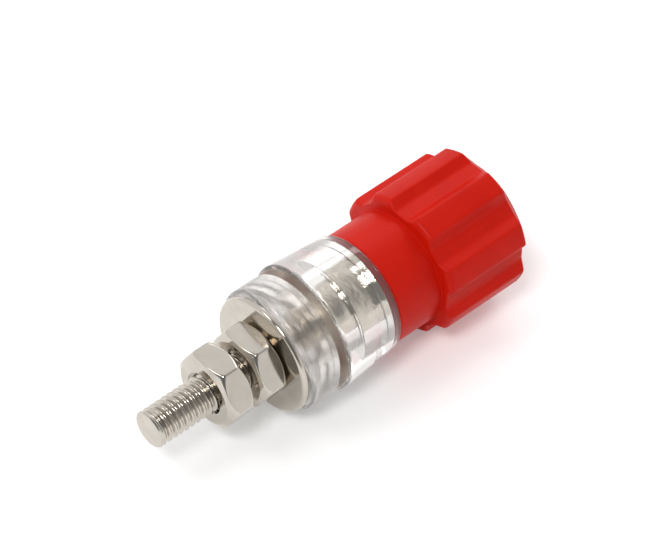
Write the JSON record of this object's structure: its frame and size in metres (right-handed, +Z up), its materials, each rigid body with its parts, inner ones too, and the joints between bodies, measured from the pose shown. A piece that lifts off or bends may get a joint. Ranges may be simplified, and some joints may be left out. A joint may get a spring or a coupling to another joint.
{
  "type": "banana socket",
  "caption": "Panel binding post with a ribbed red screw knob over a four-millimetre plug socket, clear insulating bushes, a flat washer and hexagon nuts on a threaded rear stud.",
  "frame": {"origin": "centre of the panel seat, which is the rear face of the front insulator", "axes": "the axis lies along Y with the knob towards -Y and the rear stud towards +Y; +Z is up"},
  "size_m": [0.015, 0.043, 0.015],
  "materials": {
    "nickel_brass": "bright nickel plate",
    "nickel_steel": "bright nickel plate",
    "clear_plastic": "clear, glossy",
    "red_plastic": "moulded, semi-gloss"
  },
  "bodies": {
    "base": {"post": "nickel_brass", "front_insulator": "clear_plastic", "rear_insulator": "clear_plastic", "flat_washer": "nickel_steel", "panel_nut": "nickel_brass"},
    "terminal_nut": {"terminal_nut": "nickel_brass"},
    "insert": {"knob_insert": "nickel_brass"},
    "knob": {"knob": "red_plastic"}
  },
  "joints": [
    {"name": "knob_travel", "type": "slide", "parent": "base", "child": "insert", "axis": [0, -1, 0], "range_m": [0, 0.005]},
    {"name": "knob_turn", "type": "hinge", "parent": "insert", "child": "knob", "pos_m": [0, 0, 0], "axis": [0, -1, 0], "range_deg": [0, 2400]},
    {"name": "terminal_nut_travel", "type": "slide", "parent": "base", "child": "terminal_nut", "axis": [0, 1, 0], "range_m": [-0.0008, 0.006]}
  ],
  "couplings": [
    {"joint": "knob_turn", "follows": "knob_travel", "rad_per_m": 8377.6}
  ]
}
